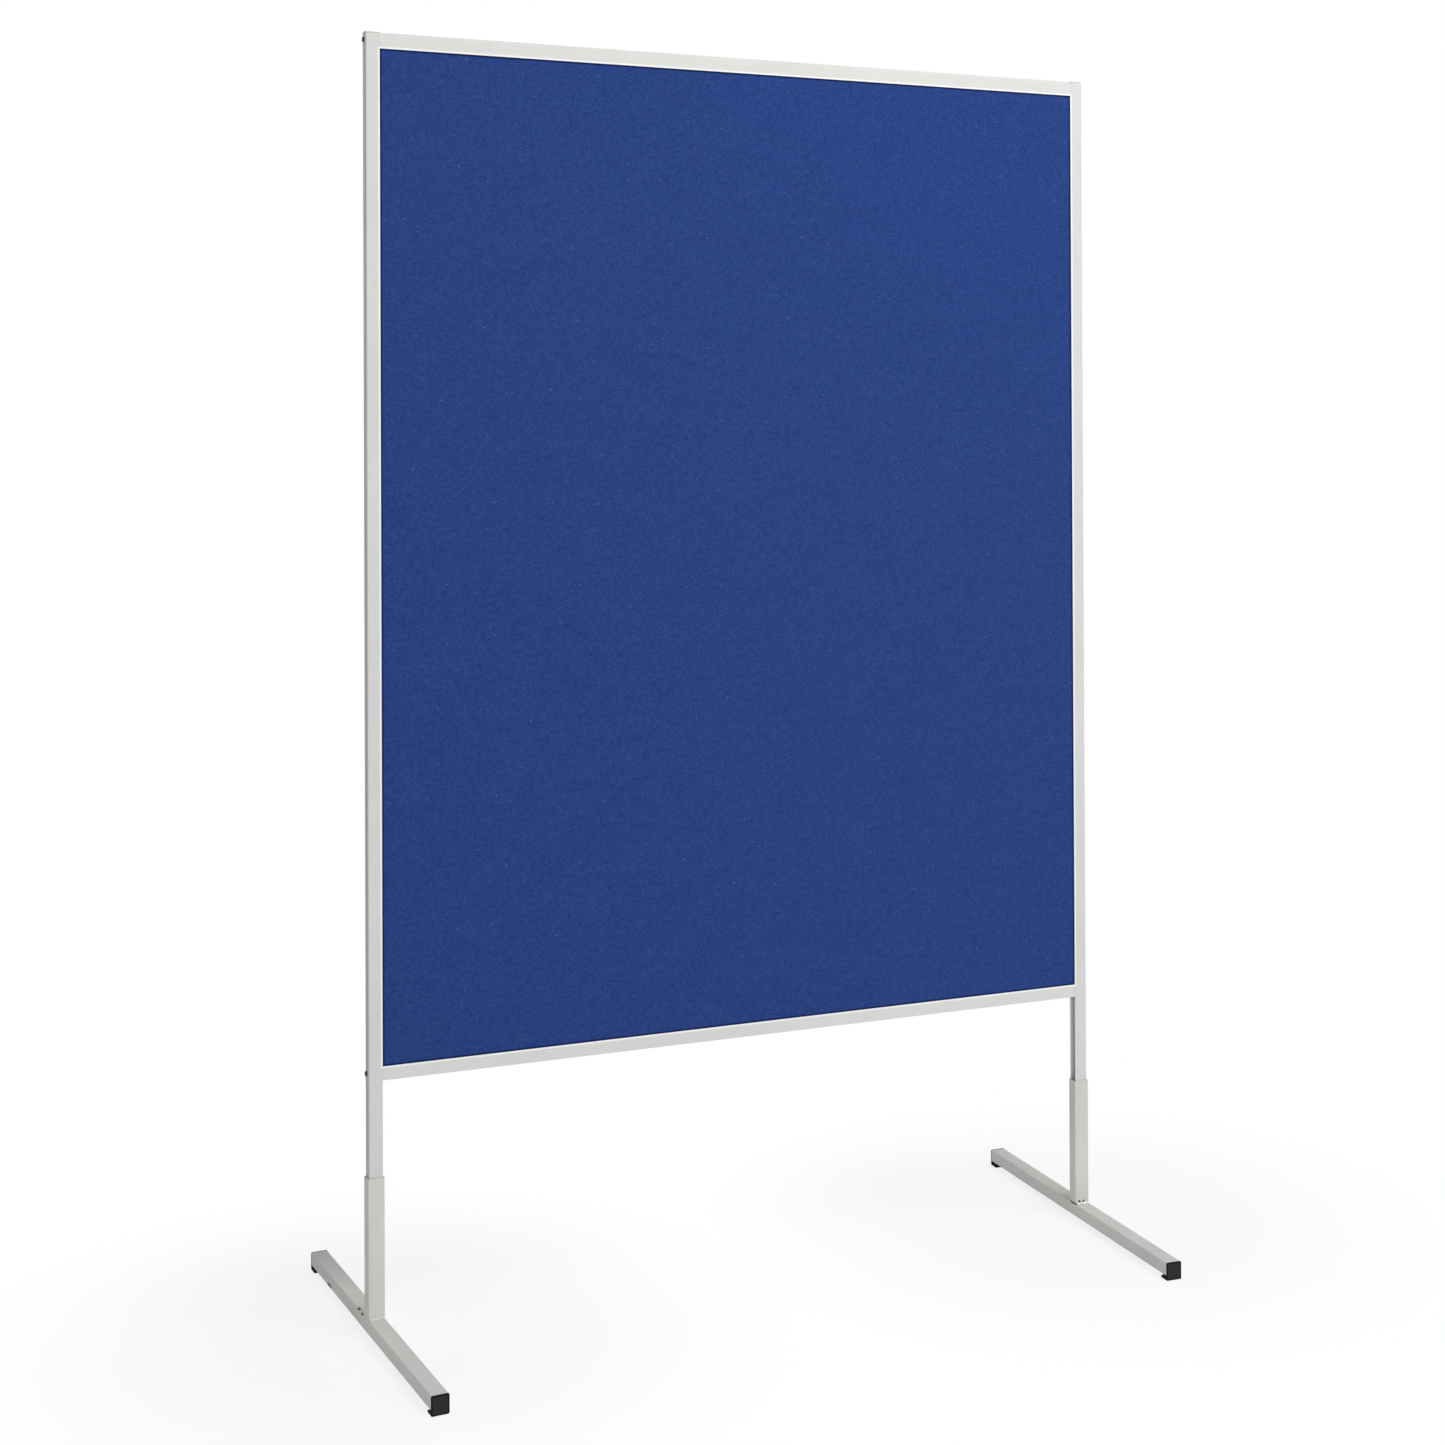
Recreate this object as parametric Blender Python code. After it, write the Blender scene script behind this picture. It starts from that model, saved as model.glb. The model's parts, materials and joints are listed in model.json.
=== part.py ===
"""Mobile pinboard: a felt-faced panel in an extruded frame, on two plug-on T-shaped feet.

Metres, +Z up. The floor is z = 0, the origin lies under the middle of the board and the front
faces -Y. Each sub-part is one object. The parts of a foot hang on an empty that lies on the
line along which the foot plugs onto its upright. The plug has play, so each foot stands turned
a little in it, its front end towards the board's middle.
"""
import math

import bmesh
import bpy
from mathutils import Vector

# Board
BOARD_WIDTH = 1.200
BOARD_HEIGHT = 1.500
GROUND_GAP = 0.365  # floor to the lower edge of the bottom rail
FRAME_DEPTH = 0.0155
FRAME_WALL = 0.0013

# Uprights: a hollow chamber outside, a groove for the panel inside
UPRIGHT_WIDTH = 0.0215
UPRIGHT_GROOVE = 0.0095
UPRIGHT_CORNER = 0.0025

# Rails: the face both share, the groove, and the strip along the top rail's upper edge
RAIL_FACE = 0.020
RAIL_GROOVE = 0.006
RAIL_CORNER = 0.001
STRIP_HEIGHT = 0.003
STRIP_SETBACK = 0.0011

# Screw ports inside the rails, measured from the groove's floor to the port's middle
TOP_PORT_DEPTH = 0.0065
BOTTOM_PORT_DEPTH = 0.0035
PORT_WALL = 0.0012
PORT_NECK = 0.0024

# Panel
FELT_THICKNESS = 0.0015

# Screws that hold the rails between the uprights
SCREW_DIAMETER = 0.0039
SCREW_LENGTH = 0.035
SCREW_POINT = 0.003
HEAD_DIAMETER = 0.0075
HEAD_HEIGHT = 0.0024
HEAD_RIM = 0.0009

# Caps in the tops of the uprights
TOP_CAP_PLATE = 0.0012
TOP_CAP_RISE = 0.0006  # how far the caps stand above the top rail
TOP_CAP_PLUG = 0.006
TOP_CAP_WALL = 0.0013

# Feet: one rectangular tube, sized to let the upright in, makes both the stem and the floor bar
PLUG_SIDE_PLAY = 0.00055  # between the upright and the bore on each side, along the board
PLUG_FACE_PLAY = 0.00105  # the same at the upright's front and rear
TOE_SHARE = 0.71  # how much of the turn that the play allows the feet stand turned by
TUBE_WALL = 0.0012
TUBE_CORNER = 0.002
STEM_LENGTH = 0.200
FOOT_LENGTH = 0.575

# Weld beads at the stem's base
BEAD_LEG = 0.003
BEAD_RIPPLE = 0.0004
BEAD_PITCH = 0.0026
BEAD_DIP_SHARE = 0.18  # how far the bead's face dips below a quarter round
BEAD_STEPS = 4

# End caps of the floor bars: plate, sole that lifts the bar, plug
PLATE_THICKNESS = 0.0015
PLATE_MARGIN = 0.0003  # how far the plate stands proud of the tube
PLATE_CORNER = 0.0018
PLATE_EDGE = 0.0005
RIM_WIDTH = 0.0018
RIM_DEPTH = 0.0004
SOLE_LENGTH = 0.015
SOLE_LIFT = 0.007  # floor to the underside of the bar
PAD_HEIGHT = 0.005
PAD_CORNER = 0.0018
NECK_INSET = 0.001
PLUG_LENGTH = 0.018
PLUG_WALL = 0.0014
PLUG_CORNER = 0.0012
RIB_HEIGHT = 0.0007
RIB_LENGTH = 0.0024
RIB_PITCH = 0.0044
RIB_COUNT = 3

# Clearances and construction
GAP = 0.0003  # between pieces that touch
PANEL_PLAY = 0.0003  # between the felt and the lips of the groove
PANEL_END_PLAY = 0.0006  # where the panel's edge stops short of a groove's floor
MERGE = 0.000002
ARC_STEPS = 4
ROUND_STEPS = 20
SMOOTH_ANGLE = math.radians(30)

# Places worked out from the sizes
FRAME_HALF = FRAME_DEPTH / 2
GROOVE_HALF = FRAME_HALF - FRAME_WALL
BOARD_TOP = GROUND_GAP + BOARD_HEIGHT
CAP_SEAT = BOARD_TOP + TOP_CAP_RISE - TOP_CAP_PLATE
TOP_RAIL_HEIGHT = RAIL_FACE + STRIP_HEIGHT
TUBE_WIDTH = UPRIGHT_WIDTH + 2 * (PLUG_SIDE_PLAY + TUBE_WALL)
TUBE_THICKNESS = FRAME_DEPTH + 2 * (PLUG_FACE_PLAY + TUBE_WALL)
BAR_AXIS = SOLE_LIFT + TUBE_THICKNESS / 2
PLUG_SEAT = SOLE_LIFT + TUBE_THICKNESS + GAP
UPRIGHT_AXIS = (BOARD_WIDTH - UPRIGHT_WIDTH) / 2
TOE_IN = TOE_SHARE * min(PLUG_SIDE_PLAY / FRAME_HALF, 2 * PLUG_FACE_PLAY / UPRIGHT_WIDTH)
RAIL_LENGTH = BOARD_WIDTH - 2 * UPRIGHT_WIDTH - 2 * GAP
PORT_RADIUS = SCREW_DIAMETER / 2 + GAP
TOP_SCREW = BOARD_TOP - TOP_RAIL_HEIGHT + RAIL_GROOVE + TOP_PORT_DEPTH
BOTTOM_SCREW = GROUND_GAP + RAIL_FACE - RAIL_GROOVE - BOTTOM_PORT_DEPTH
SIDES = {"left": -1, "right": 1}


def clear_scene():
    """Remove every object that the scene starts with."""
    for obj in list(bpy.data.objects):
        bpy.data.objects.remove(obj, do_unlink=True)


def linear(level):
    """Turn one screen colour level, 0 to 255, into linear light."""
    share = level / 255
    return share / 12.92 if share <= 0.04045 else ((share + 0.055) / 1.055) ** 2.4


def material(name, levels, roughness, metallic=0.0):
    """One Principled material from its screen colour levels."""
    made = bpy.data.materials.new(name)
    made.use_nodes = True
    shader = made.node_tree.nodes["Principled BSDF"]
    shader.inputs["Base Color"].default_value = (*[linear(level) for level in levels], 1.0)
    shader.inputs["Roughness"].default_value = roughness
    shader.inputs["Metallic"].default_value = metallic
    return made


def arc(centre, radius, start, end):
    """Points along an arc from one angle to another, in degrees, both ends included."""
    turn = (end - start) / ARC_STEPS
    angles = [math.radians(start + turn * step) for step in range(ARC_STEPS + 1)]
    return [(centre[0] + radius * math.cos(a), centre[1] + radius * math.sin(a)) for a in angles]


def circle(centre, radius):
    """Points round a full circle."""
    angles = [math.tau * step / ROUND_STEPS for step in range(ROUND_STEPS)]
    return [(centre[0] + radius * math.cos(a), centre[1] + radius * math.sin(a)) for a in angles]


def distinct(points):
    """Drop points that repeat the one before them, also round the closing corner."""
    kept = []
    for point in points:
        if not kept or math.dist(point, kept[-1]) > MERGE:
            kept.append(point)
    if math.dist(kept[0], kept[-1]) <= MERGE:
        kept.pop()
    return kept


def mirrored(half):
    """Close a half outline, drawn on the side y >= 0, with its mirror image."""
    return distinct(list(half) + [(x, -y) for x, y in reversed(half)])


def rounded_rectangle(width, height, radius):
    """A rectangle round the origin with rounded corners."""
    x = width / 2 - radius
    y = height / 2 - radius
    corners = ((x, y, 0), (-x, y, 90), (-x, -y, 180), (x, -y, 270))
    return [point for cx, cy, turn in corners for point in arc((cx, cy), radius, turn, turn + 90)]


def new_object(name, bm, look=None):
    """Turn a finished bmesh into an object with outward faces and smooth round sides."""
    bmesh.ops.remove_doubles(bm, verts=bm.verts[:], dist=MERGE)
    bmesh.ops.recalc_face_normals(bm, faces=bm.faces[:])
    mesh = bpy.data.meshes.new(name)
    bm.to_mesh(mesh)
    bm.free()
    mesh.shade_smooth()
    mesh.set_sharp_from_angle(angle=SMOOTH_ANGLE)
    return place_mesh(name, mesh, look)


def place_mesh(name, mesh, look=None):
    """Link a mesh into the scene as an object and give it its material."""
    obj = bpy.data.objects.new(name, mesh)
    bpy.context.scene.collection.objects.link(obj)
    if look and not mesh.materials:
        mesh.materials.append(look)
    return obj


def extrusion(loops, length):
    """Fill a section, whose inner loops are holes, and extrude it along z."""
    bm = bmesh.new()
    edges = []
    for loop in loops:
        verts = [bm.verts.new((x, y, 0)) for x, y in loop]
        edges += [bm.edges.new(pair) for pair in zip(verts, verts[1:] + verts[:1])]
    bmesh.ops.triangle_fill(bm, edges=edges, use_beauty=True)
    moved = bmesh.ops.extrude_face_region(bm, geom=bm.faces[:])["geom"]
    top = [item for item in moved if isinstance(item, bmesh.types.BMVert)]
    bmesh.ops.translate(bm, verts=top, vec=(0, 0, length))
    return bm


def extruded(name, loops, length, look=None):
    """An extrusion as an object, its length along its local +Z."""
    return new_object(name, extrusion(loops, length), look)


def pierce(bm, walls, height, reach, radius):
    """Drill along x through flat walls, each given by the x of its two faces.

    The extrusion is first split at a reach above and below, so that its faces stay short.
    """
    for division in (height - reach, height + reach):
        everything = bm.verts[:] + bm.edges[:] + bm.faces[:]
        bmesh.ops.bisect_plane(bm, geom=everything, plane_co=(0, 0, division), plane_no=(0, 0, 1))
    for wall in walls:
        rims = []
        for x in wall:
            middle = Vector((x, 0, height))
            face = min(bm.faces, key=lambda f: (f.calc_center_median() - middle).length)
            outline = face.edges[:]
            bmesh.ops.delete(bm, geom=[face], context="FACES_ONLY")
            verts = [bm.verts.new((x, y, height + z)) for y, z in circle((0, 0), radius)]
            rim = [bm.edges.new(pair) for pair in zip(verts, verts[1:] + verts[:1])]
            bmesh.ops.triangle_fill(bm, edges=outline + rim, use_beauty=True)
            rims += rim
        bmesh.ops.bridge_loops(bm, edges=rims)


def lofted(name, rings, look=None, closed=False):
    """Skin a row of rings: closed joins the last ring to the first, else both ends are filled."""
    bm = bmesh.new()
    rows = [[bm.verts.new(point) for point in ring] for ring in rings]
    following = rows[1:] + rows[:1] if closed else rows[1:]
    for row, after in zip(rows, following):
        for index in range(len(row)):
            bm.faces.new((row[index - 1], row[index], after[index], after[index - 1]))
    if not closed:
        bm.faces.new(rows[0])
        bm.faces.new(rows[-1])
    return new_object(name, bm, look)


def turned(name, profile, look=None):
    """Revolve a profile of (radius, height) points round the local Z axis."""
    bm = bmesh.new()
    verts = [bm.verts.new((radius, 0, height)) for radius, height in profile]
    edges = [bm.edges.new(pair) for pair in zip(verts, verts[1:])]
    bmesh.ops.spin(bm, geom=verts + edges, axis=(0, 0, 1), cent=(0, 0, 0),
                   angle=math.tau, steps=ROUND_STEPS, use_merge=True)
    return new_object(name, bm, look)


def united(solids):
    """Join overlapping solids into one closed mesh and remove the separate ones."""
    first = solids[0]
    for other in solids[1:]:
        union = first.modifiers.new(other.name, "BOOLEAN")
        union.operation = "UNION"
        union.object = other
    evaluated = first.evaluated_get(bpy.context.evaluated_depsgraph_get())
    mesh = bpy.data.meshes.new_from_object(evaluated)
    mesh.transform(first.matrix_world)
    for solid in solids:
        bpy.data.objects.remove(solid)
    mesh.materials.clear()
    return mesh


def upright_edge():
    """Half of the upright's outer side: x runs from the outer face to the groove's lips."""
    corner = (UPRIGHT_CORNER, FRAME_HALF - UPRIGHT_CORNER)
    return arc(corner, UPRIGHT_CORNER, 180, 90) + [(UPRIGHT_WIDTH, FRAME_HALF)]


def upright_section():
    """Outline of the upright with its open panel groove, and its hollow chamber."""
    floor = UPRIGHT_WIDTH - UPRIGHT_GROOVE
    outline = upright_edge() + [(UPRIGHT_WIDTH, GROOVE_HALF), (floor, GROOVE_HALF)]
    return mirrored(outline), chamber_outline(0)


def chamber_outline(clearance):
    """The upright's hollow chamber, drawn smaller all round by a clearance."""
    wall = FRAME_WALL + clearance
    corner = max(UPRIGHT_CORNER, wall)
    half = arc((corner, FRAME_HALF - corner), corner - wall, 180, 90)
    return mirrored(half + [(UPRIGHT_WIDTH - UPRIGHT_GROOVE - wall, FRAME_HALF - wall)])


def rail_section(height, port_depth, edge, chamber_edge):
    """Outline, chamber and screw port of a rail: x runs from its outer edge to the lips."""
    floor = height - RAIL_GROOVE
    web = floor - FRAME_WALL
    port = floor - port_depth
    boss = PORT_RADIUS + PORT_WALL
    neck_turn = math.asin(min(PORT_NECK / 2 / boss, 1))
    web_turn = math.acos(min((web - port) / boss, 1))
    turn = max(neck_turn, web_turn)
    outline = edge + [(height, FRAME_HALF), (height, GROOVE_HALF), (floor, GROOVE_HALF)]
    chamber = chamber_edge + [(web, GROOVE_HALF), (web, boss * math.sin(turn))]
    chamber += arc((port, 0), boss, math.degrees(turn), 180)
    return mirrored(outline), mirrored(chamber), circle((port, 0), PORT_RADIUS)


def bottom_rail_section():
    """The plain rail: slightly rounded lower edges."""
    edge = arc((RAIL_CORNER, FRAME_HALF - RAIL_CORNER), RAIL_CORNER, 180, 90)
    return rail_section(RAIL_FACE, BOTTOM_PORT_DEPTH, edge, [(FRAME_WALL, GROOVE_HALF)])


def top_rail_section():
    """The top rail: a narrower strip along its upper edge, stepped out by a round shoulder."""
    strip = FRAME_HALF - STRIP_SETBACK
    edge = arc((RAIL_CORNER, strip - RAIL_CORNER), RAIL_CORNER, 180, 90)
    edge += [(STRIP_HEIGHT, strip)]
    edge += arc((STRIP_HEIGHT + STRIP_SETBACK, strip), STRIP_SETBACK, 180, 90)
    step = STRIP_HEIGHT + FRAME_WALL
    chamber_edge = [(FRAME_WALL, strip - FRAME_WALL), (step, strip - FRAME_WALL)]
    chamber_edge += [(step + STRIP_SETBACK, GROOVE_HALF)]
    return rail_section(TOP_RAIL_HEIGHT, TOP_PORT_DEPTH, edge, chamber_edge)


def make_uprights(look):
    """The uprights run from the foot's bar, inside the stem, up to their caps."""
    floor = UPRIGHT_WIDTH - UPRIGHT_GROOVE
    walls = ((0, FRAME_WALL), (floor - FRAME_WALL, floor))
    for side, sign in SIDES.items():
        bm = extrusion(upright_section(), CAP_SEAT - GAP - PLUG_SEAT)
        for screw in (TOP_SCREW, BOTTOM_SCREW):
            pierce(bm, walls, screw - PLUG_SEAT, HEAD_DIAMETER, PORT_RADIUS)
        upright = new_object(f"{side}_upright", bm, look)
        upright.location = (sign * BOARD_WIDTH / 2, 0, PLUG_SEAT)
        upright.rotation_euler = (0, 0, math.radians(180) if sign > 0 else 0)


def make_rails(look):
    """The rails butt between the uprights, with their grooves facing the panel."""
    top = extruded("top_rail", top_rail_section(), RAIL_LENGTH, look)
    top.location = (-RAIL_LENGTH / 2, 0, BOARD_TOP)
    top.rotation_euler = (0, math.radians(90), 0)
    bottom = extruded("bottom_rail", bottom_rail_section(), RAIL_LENGTH, look)
    bottom.location = (RAIL_LENGTH / 2, 0, GROUND_GAP)
    bottom.rotation_euler = (0, math.radians(-90), 0)


def make_panel(core_look, felt_look):
    """The soft core and the felt on both of its faces, held in the four grooves."""
    low = GROUND_GAP + RAIL_FACE - RAIL_GROOVE + GAP
    high = BOARD_TOP - TOP_RAIL_HEIGHT + RAIL_GROOVE - PANEL_END_PLAY
    width = BOARD_WIDTH - 2 * (UPRIGHT_WIDTH - UPRIGHT_GROOVE + PANEL_END_PLAY)
    face = GROOVE_HALF - PANEL_PLAY
    core_face = face - FELT_THICKNESS - GAP
    layers = (
        ("board_core", -core_face, core_face, core_look),
        ("front_felt", -face, FELT_THICKNESS - face, felt_look),
        ("rear_felt", face - FELT_THICKNESS, face, felt_look),
    )
    for name, front, back, look in layers:
        outline = [(-width / 2, front), (width / 2, front), (width / 2, back), (-width / 2, back)]
        extruded(name, [outline], high - low, look).location = (0, 0, low)


def screw_mesh():
    """A pan-head screw along the local Z axis: the head below z = 0, the shank above."""
    shank = SCREW_DIAMETER / 2
    head = HEAD_DIAMETER / 2
    dome_height = HEAD_HEIGHT - HEAD_RIM
    dome = [(head * math.cos(a), -HEAD_RIM - dome_height * math.sin(a))
            for a in (math.radians(90) * step / ARC_STEPS for step in range(ARC_STEPS, -1, -1))]
    profile = dome + [(head, 0), (shank, 0), (shank, SCREW_LENGTH - SCREW_POINT)]
    profile += [(shank / 2, SCREW_LENGTH), (0, SCREW_LENGTH)]
    return turned("rail_screw", profile).data


def make_screws(look):
    """One screw through each end of each rail, its head on the upright's outer face."""
    mesh = screw_mesh()
    for side, sign in SIDES.items():
        for place, height in (("top", TOP_SCREW), ("bottom", BOTTOM_SCREW)):
            screw = place_mesh(f"{side}_{place}_screw", mesh, look)
            screw.location = (sign * (BOARD_WIDTH / 2 + GAP), 0, height)
            screw.rotation_euler = (0, math.radians(-90 * sign), 0)


def make_top_caps(look):
    """Moulded caps that close the uprights: a plate on top and a hollow plug in the chamber."""
    plate = extruded("cap_plate", [mirrored(upright_edge())], TOP_CAP_PLATE)
    rings = (chamber_outline(GAP), chamber_outline(GAP + TOP_CAP_WALL))
    plug = extruded("cap_plug", rings, TOP_CAP_PLUG + TOP_CAP_PLATE / 2)
    plug.location = (0, 0, -TOP_CAP_PLUG)
    mesh = united([plate, plug])
    for side, sign in SIDES.items():
        cap = place_mesh(f"{side}_top_cap", mesh, look)
        cap.location = (sign * BOARD_WIDTH / 2, 0, CAP_SEAT)
        cap.rotation_euler = (0, 0, math.radians(180) if sign > 0 else 0)


def tube_section():
    """Outer and inner outline of the foot's tube, wide along x."""
    bore_corner = max(TUBE_CORNER - TUBE_WALL, GAP)
    outer = rounded_rectangle(TUBE_WIDTH, TUBE_THICKNESS, TUBE_CORNER)
    inner = rounded_rectangle(TUBE_WIDTH - 2 * TUBE_WALL, TUBE_THICKNESS - 2 * TUBE_WALL, bore_corner)
    return outer, inner


def standing_ring(width, height, corner, inset, depth):
    """A rounded rectangle in the XZ plane, drawn smaller by an inset, at a depth along y."""
    outline = rounded_rectangle(width - 2 * inset, height - 2 * inset, max(corner - inset, GAP))
    return [(x, depth, z) for x, z in outline]


def cap_plate():
    """The end cap's plate: a rounded block whose front has a raised rim round a recess."""
    width = TUBE_WIDTH + 2 * PLATE_MARGIN
    height = SOLE_LIFT + TUBE_THICKNESS
    front = -PLATE_THICKNESS
    steps = (
        (RIM_WIDTH + RIM_DEPTH, front + RIM_DEPTH),
        (RIM_WIDTH, front),
        (PLATE_EDGE, front),
        (0, front + PLATE_EDGE),
        (0, 0),
    )
    plate = lofted("cap_plate", [standing_ring(width, height, PLATE_CORNER, *step) for step in steps])
    plate.location = (0, 0, PLATE_MARGIN + height / 2)
    return plate


def cap_sole():
    """The sole under the bar: a pad on the floor and a narrower neck up to the tube."""
    pad = TUBE_WIDTH / 2
    neck = pad - NECK_INSET
    half = arc((PAD_CORNER, pad - PAD_CORNER), PAD_CORNER, 180, 90)
    half += [(PAD_HEIGHT, pad), (PAD_HEIGHT, neck), (SOLE_LIFT - GAP, neck)]
    outline = mirrored(half)
    ends = (-PLATE_THICKNESS / 2, SOLE_LENGTH)
    return lofted("cap_sole", [[(x, depth, z) for z, x in outline] for depth in ends])


def cap_plug():
    """The hollow plug inside the tube, with barbed ribs round its outside."""
    width = TUBE_WIDTH - 2 * TUBE_WALL - 2 * GAP
    height = TUBE_THICKNESS - 2 * TUBE_WALL - 2 * GAP
    root = -PLATE_THICKNESS / 2
    bore = RIB_HEIGHT + PLUG_WALL
    steps = [(RIB_HEIGHT, root)]
    for rib in range(RIB_COUNT, 0, -1):
        start = PLUG_LENGTH - RIB_PITCH * rib
        steps += [(RIB_HEIGHT, start), (0, start), (RIB_HEIGHT, start + RIB_LENGTH)]
    steps += [(RIB_HEIGHT, PLUG_LENGTH), (bore, PLUG_LENGTH), (bore, root)]
    rings = [standing_ring(width, height, PLUG_CORNER, *step) for step in steps]
    plug = lofted("cap_plug", rings, closed=True)
    plug.location = (0, 0, BAR_AXIS)
    return plug


def bead_mesh():
    """A weld bead in the corner between stem and bar: y runs out from the stem, z up."""
    length = TUBE_WIDTH - 2 * TUBE_CORNER
    ripples = round(length / BEAD_PITCH)
    stations = ripples * BEAD_STEPS
    rings = []
    for station in range(stations + 1):
        x = length * (station / stations - 1 / 2)
        leg = BEAD_LEG - BEAD_RIPPLE * math.cos(math.tau * ripples * station / stations)
        ring = [(x, 0, 0)]
        for step in range(BEAD_STEPS):
            angle = math.radians(90) * step / (BEAD_STEPS - 1)
            reach = leg * (1 - BEAD_DIP_SHARE * math.sin(2 * angle))
            ring.append((x, -reach * math.cos(angle), reach * math.sin(angle)))
        rings.append(ring)
    return lofted("weld_bead", rings).data


def make_foot(side, sign, cap_mesh, weld_mesh, looks):
    """One T-shaped foot: stem, floor bar, two weld beads and two end caps with soles."""
    plug_axis = bpy.data.objects.new(f"{side}_foot_plug", None)
    bpy.context.scene.collection.objects.link(plug_axis)
    plug_axis.location = (sign * UPRIGHT_AXIS, 0, PLUG_SEAT)
    plug_axis.rotation_euler = (0, 0, -sign * TOE_IN)

    stem = extruded(f"{side}_stem", tube_section(), STEM_LENGTH, looks["frame"])
    length = FOOT_LENGTH - 2 * PLATE_THICKNESS - 2 * GAP
    bar = extruded(f"{side}_floor_bar", tube_section(), length, looks["frame"])
    bar.location = (0, length / 2, BAR_AXIS - PLUG_SEAT)
    bar.rotation_euler = (math.radians(90), 0, 0)
    pieces = [stem, bar]

    for end, facing in (("front", -1), ("rear", 1)):
        turn = (0, 0, math.radians(180) if facing > 0 else 0)
        bead = place_mesh(f"{side}_{end}_weld", weld_mesh, looks["weld"])
        bead.location = (0, facing * (TUBE_THICKNESS / 2 + GAP), 0)
        bead.rotation_euler = turn
        cap = place_mesh(f"{side}_{end}_end_cap", cap_mesh, looks["plastic"])
        cap.location = (0, facing * (FOOT_LENGTH / 2 - PLATE_THICKNESS), -PLUG_SEAT)
        cap.rotation_euler = turn
        pieces += [bead, cap]

    for piece in pieces:
        piece.parent = plug_axis


def main():
    """Build the pinboard from its named sizes."""
    clear_scene()
    looks = {
        "frame": material("light_grey_frame", (214, 216, 215), 0.42, 0.35),
        "plastic": material("black_plastic", (26, 26, 25), 0.5),
        "grey_cap": material("grey_plastic", (206, 208, 206), 0.55),
        "core": material("fibreboard", (158, 138, 108), 0.95),
        "felt": material("blue_felt", (43, 69, 131), 0.97),
        "screw": material("dark_steel", (70, 70, 68), 0.4, 0.9),
        "weld": material("painted_weld", (205, 207, 205), 0.45, 0.35),
    }
    make_uprights(looks["frame"])
    make_rails(looks["frame"])
    make_panel(looks["core"], looks["felt"])
    make_screws(looks["screw"])
    make_top_caps(looks["grey_cap"])
    cap_mesh = united([cap_plate(), cap_sole(), cap_plug()])
    weld_mesh = bead_mesh()
    for side, sign in SIDES.items():
        make_foot(side, sign, cap_mesh, weld_mesh, looks)
    for spare in ("rail_screw", "weld_bead"):
        bpy.data.objects.remove(bpy.data.objects[spare])


main()
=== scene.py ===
"""Mobile pinboard: the finished surfaces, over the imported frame.

Metres, +Z up. The floor is z = 0 and the front faces -Y. Each piece stands for the node that it
is named after, in that node's place. A foot's pieces are made square, with the foot's middle on
the floor at the origin, and are then turned and moved to where the frame's soles stand.
"""
import json
import math

import bmesh
import bpy
from mathutils import Matrix, Vector


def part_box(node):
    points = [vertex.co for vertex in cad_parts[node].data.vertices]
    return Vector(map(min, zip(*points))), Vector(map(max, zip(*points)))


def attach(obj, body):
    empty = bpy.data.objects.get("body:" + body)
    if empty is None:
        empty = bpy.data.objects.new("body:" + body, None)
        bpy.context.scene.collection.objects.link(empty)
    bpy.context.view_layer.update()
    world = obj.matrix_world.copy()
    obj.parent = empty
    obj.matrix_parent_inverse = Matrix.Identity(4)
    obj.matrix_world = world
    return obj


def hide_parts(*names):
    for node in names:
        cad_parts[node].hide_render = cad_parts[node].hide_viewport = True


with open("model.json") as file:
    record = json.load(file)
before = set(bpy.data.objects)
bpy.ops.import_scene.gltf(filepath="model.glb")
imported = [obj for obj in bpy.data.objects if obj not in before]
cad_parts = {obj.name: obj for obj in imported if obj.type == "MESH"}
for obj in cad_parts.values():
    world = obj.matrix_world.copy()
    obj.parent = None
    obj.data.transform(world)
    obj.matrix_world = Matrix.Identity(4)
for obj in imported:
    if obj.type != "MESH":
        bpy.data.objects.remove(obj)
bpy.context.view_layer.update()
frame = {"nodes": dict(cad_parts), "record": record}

# Camera, fitted to the corners and edges in the photograph
PHOTO_PIXELS = 1445
FOCAL_PIXELS = 2195.7
AXIS_ROW_PIXEL = 428.0  # the row that the camera's axis meets
CAMERA_PLACE = (-1.3734, -3.0886, 1.2734)
CAMERA_YAW = math.radians(23.312)
CAMERA_PITCH = math.radians(0.405)
CAMERA_ROLL = math.radians(-0.237)
CAMERA_SIGHT = 100
SENSOR_WIDTH_MM = 36.0

# Frame sections
FRAME_WALL = 0.0013
UPRIGHT_GROOVE = 0.0095
UPRIGHT_CORNER = 0.0025
RAIL_GROOVE = 0.006
RAIL_CORNER = 0.001
STRIP_HEIGHT = 0.003
STRIP_SETBACK = 0.0011
SHOULDER_ROUND = 0.0008
LIP_ROUND = 0.0004
CREASE_ROUND = 0.0002

# Frame finish: drawn-out die lines, painted reflection and painted shade in the groove, a painted
# highlight on the lips, painted shade on the outer sides
DIE_LINES_UP = (1, 1, 0.01)
DIE_LINES_ACROSS = (0.01, 1, 1)
GROOVE_REFLECTION_START = 0.0002
GROOVE_REFLECTION_END = 0.001
GROOVE_SHADE_START = 0.0075
GROOVE_SHADE_END = 0.0092
WALL_FADE_SHARE = 0.2
LIP_HIGHLIGHT_WIDTH = 0.0021
LIP_HIGHLIGHT_SHARE = 0.95
OUTER_SIDE_SHADE_SHARE = 0.8

# Felt: how it is pressed under the lips and swells inside the frame, and its border painted darker:
# painted shade from the lips, and the pressed edge
FELT_EDGE = 0.0003
SWELL_WIDTH = 0.0045
SWELL_HEIGHT = 0.0005
SWELL_STEPS = 6
PRESSED_AND_SHADED_FULL = 0.0022
PRESSED_AND_SHADED_END = 0.0034
PRESSED_AND_SHADED_SHARE = 0.85
LINT_SHARE = 0.3

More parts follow.
